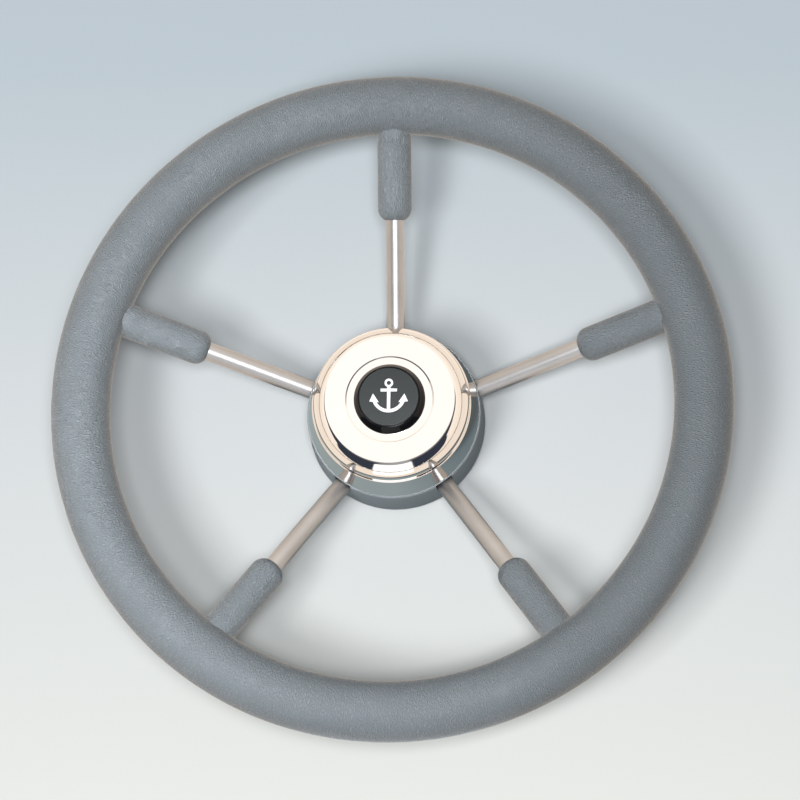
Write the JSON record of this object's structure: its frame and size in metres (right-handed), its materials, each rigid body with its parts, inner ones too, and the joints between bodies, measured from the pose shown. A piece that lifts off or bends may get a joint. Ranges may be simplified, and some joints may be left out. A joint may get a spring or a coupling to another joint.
{
  "type": "marine steering wheel",
  "caption": "Round boat steering wheel with a soft grey rim, straight polished rods, a polished hub cover and a push-in centre cap, turning on a console collar.",
  "frame": {"origin": "centre of the collar's rear face, which lies on the console, on the wheel's axis", "axes": "+Z along the wheel's axis towards the helmsman, +Y along spoke 1"},
  "size_m": [0.35, 0.35, 0.0682],
  "materials": {
    "grip_grey": "matt, fine leather grain",
    "shell_grey": "matt, fine spark texture",
    "polished_steel": "mirror polished stainless",
    "turned_steel": "turned",
    "screw_steel": "bright stainless",
    "gloss_black": "gloss",
    "satin_black": "satin",
    "emblem_white": "satin print",
    "black_moulding": "matt moulding",
    "black_rubber": "matt",
    "acetal": "smooth"
  },
  "bodies": {
    "collar": {"dash_collar": "black_moulding", "rear_gasket": "black_rubber", "collar_bush": "acetal"},
    "wheel": {"hub_boss": "turned_steel", "spoke_hub": "turned_steel", "hub_screws": "screw_steel", "hub_shell": "shell_grey", "shell_screws": "screw_steel", "spoke_1": "polished_steel", "spoke_2": "polished_steel", "spoke_3": "polished_steel", "spoke_4": "polished_steel", "spoke_5": "polished_steel", "spoke_sleeve_1": "grip_grey", "spoke_sleeve_2": "grip_grey", "spoke_sleeve_3": "grip_grey", "spoke_sleeve_4": "grip_grey", "spoke_sleeve_5": "grip_grey", "rim_core": "turned_steel", "rim_grip": "grip_grey", "cover_seat": "black_moulding", "front_cover": "polished_steel", "cover_seal": "shell_grey", "cap_ring": "gloss_black", "nut_washer": "screw_steel", "shaft_nut": "screw_steel"},
    "cap": {"centre_cap": "satin_black", "cap_emblem": "emblem_white"}
  },
  "joints": [
    {"name": "wheel_turn", "type": "hinge", "parent": "collar", "child": "wheel", "pos_m": [0, 0, 0.0075], "axis": [0, 0, 1], "continuous": true},
    {"name": "cap_pull", "type": "slide", "parent": "wheel", "child": "cap", "axis": [0, 0, 1], "range_m": [0, 0.02]}
  ]
}
